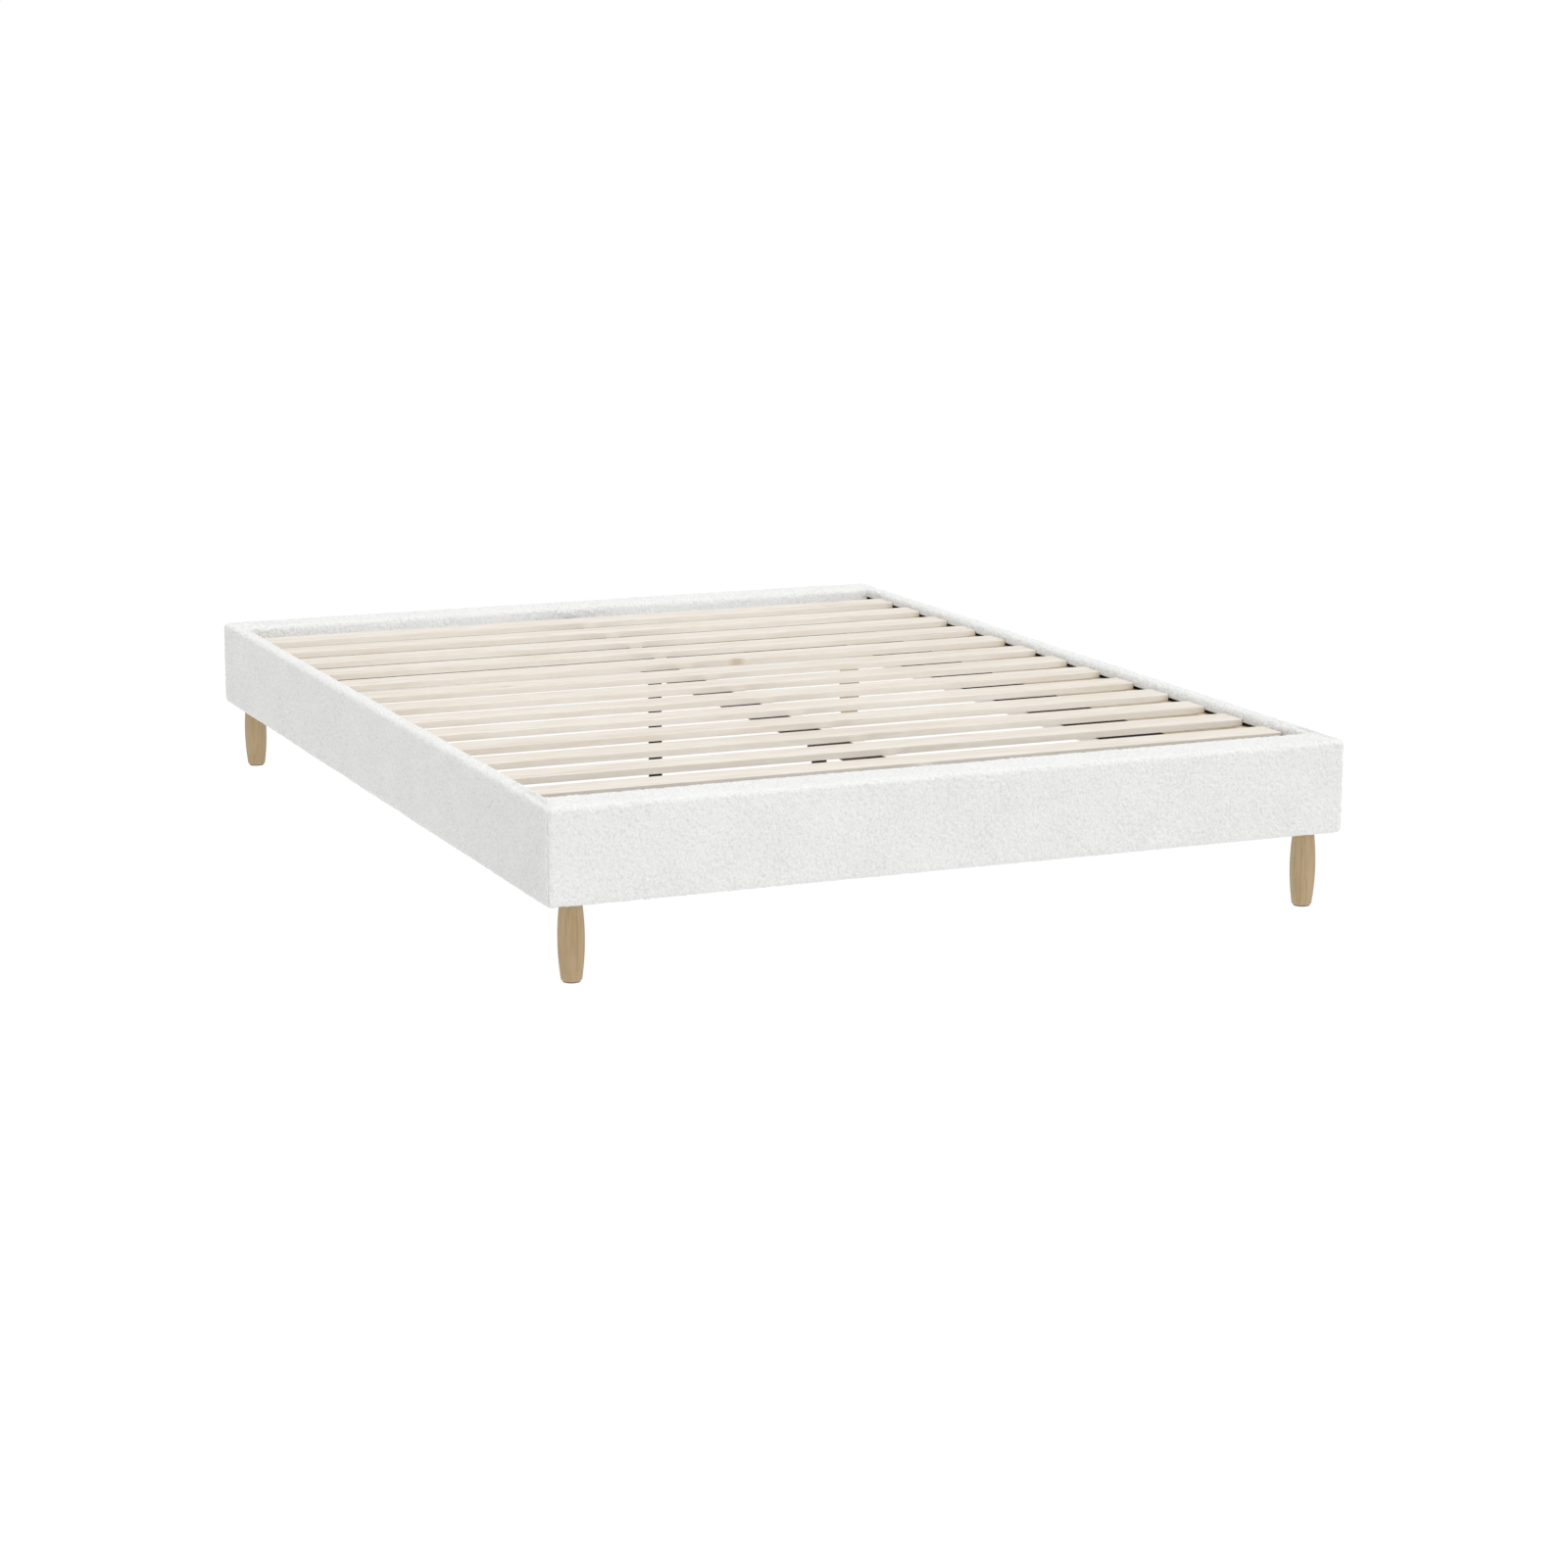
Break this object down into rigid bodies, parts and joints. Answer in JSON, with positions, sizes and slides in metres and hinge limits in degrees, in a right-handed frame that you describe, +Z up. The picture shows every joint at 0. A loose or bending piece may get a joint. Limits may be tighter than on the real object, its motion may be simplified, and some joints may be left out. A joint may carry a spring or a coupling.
{
  "type": "upholstered platform bed base",
  "caption": "Low upholstered platform bed base with a padded rail frame, pine slats, a centre beam with levelling legs and barrel-shaped wooden corner legs.",
  "frame": {"origin": "on the floor, under the middle of the bed", "axes": "+X across the bed to the right as seen from the foot, +Y along the bed towards the head, +Z up"},
  "size_m": [1.606, 2.228, 0.326],
  "materials": {
    "boucle_fabric": "white looped boucle upholstery",
    "pad_foam": "open-cell polyurethane foam",
    "black_lining": "black non-woven lining",
    "pine_slat": "sanded raw pine",
    "dowel_wood": "raw beech",
    "ledge_wood": "sanded raw pine",
    "plywood": "raw plywood",
    "block_wood": "raw softwood",
    "black_steel": "black powder coat",
    "cream_felt": "cream anti-creak felt",
    "black_plastic": "matt black moulded plastic",
    "leg_wood": "clear satin lacquer on beech",
    "glide_felt": "tan felt",
    "zinc_steel": "zinc plated"
  },
  "bodies": {
    "base": {"beam_felt_strip": "cream_felt", "beam_hanger_foot": "black_steel", "beam_hanger_head": "black_steel", "bracket_bolts": "zinc_steel", "centre_beam": "black_steel", "centre_leg_foot": "black_plastic", "centre_leg_head": "black_plastic", "corner_brackets": "zinc_steel", "foot_bottom_board": "plywood", "foot_cover": "boucle_fabric", "foot_foam": "pad_foam", "foot_inner_panel": "plywood", "foot_leg_blocks": "block_wood", "foot_lining": "black_lining", "foot_outer_panel": "plywood", "foot_top_board": "plywood", "frame_spacers": "block_wood", "hardware_screws": "zinc_steel", "head_bottom_board": "plywood", "head_cover": "boucle_fabric", "head_foam": "pad_foam", "head_inner_panel": "plywood", "head_leg_blocks": "block_wood", "head_lining": "black_lining", "head_outer_panel": "plywood", "head_top_board": "plywood", "ledge_screws": "zinc_steel", "leg_bolts": "zinc_steel", "leg_foot_left": "leg_wood", "leg_foot_right": "leg_wood", "leg_glides": "glide_felt", "leg_head_left": "leg_wood", "leg_head_right": "leg_wood", "side_left_board": "plywood", "side_left_cover": "boucle_fabric", "side_left_foam": "pad_foam", "side_left_ledge": "ledge_wood", "side_left_lining": "black_lining", "side_right_board": "plywood", "side_right_cover": "boucle_fabric", "side_right_foam": "pad_foam", "side_right_ledge": "ledge_wood", "side_right_lining": "black_lining", "slat_01": "pine_slat", "slat_02": "pine_slat", "slat_03": "pine_slat", "slat_04": "pine_slat", "slat_05": "pine_slat", "slat_06": "pine_slat", "slat_07": "pine_slat", "slat_08": "pine_slat", "slat_09": "pine_slat", "slat_10": "pine_slat", "slat_11": "pine_slat", "slat_12": "pine_slat", "slat_13": "pine_slat", "slat_dowels": "dowel_wood", "tee_nuts": "zinc_steel"},
    "leveller_head": {"levelling_foot_head": "black_plastic"},
    "leveller_foot": {"levelling_foot_foot": "black_plastic"}
  },
  "joints": [
    {"name": "leveller_head_slide", "type": "slide", "parent": "base", "child": "leveller_head", "axis": [0, 0, -1], "range_m": [0, 0.02]},
    {"name": "leveller_foot_slide", "type": "slide", "parent": "base", "child": "leveller_foot", "axis": [0, 0, -1], "range_m": [0, 0.02]}
  ]
}
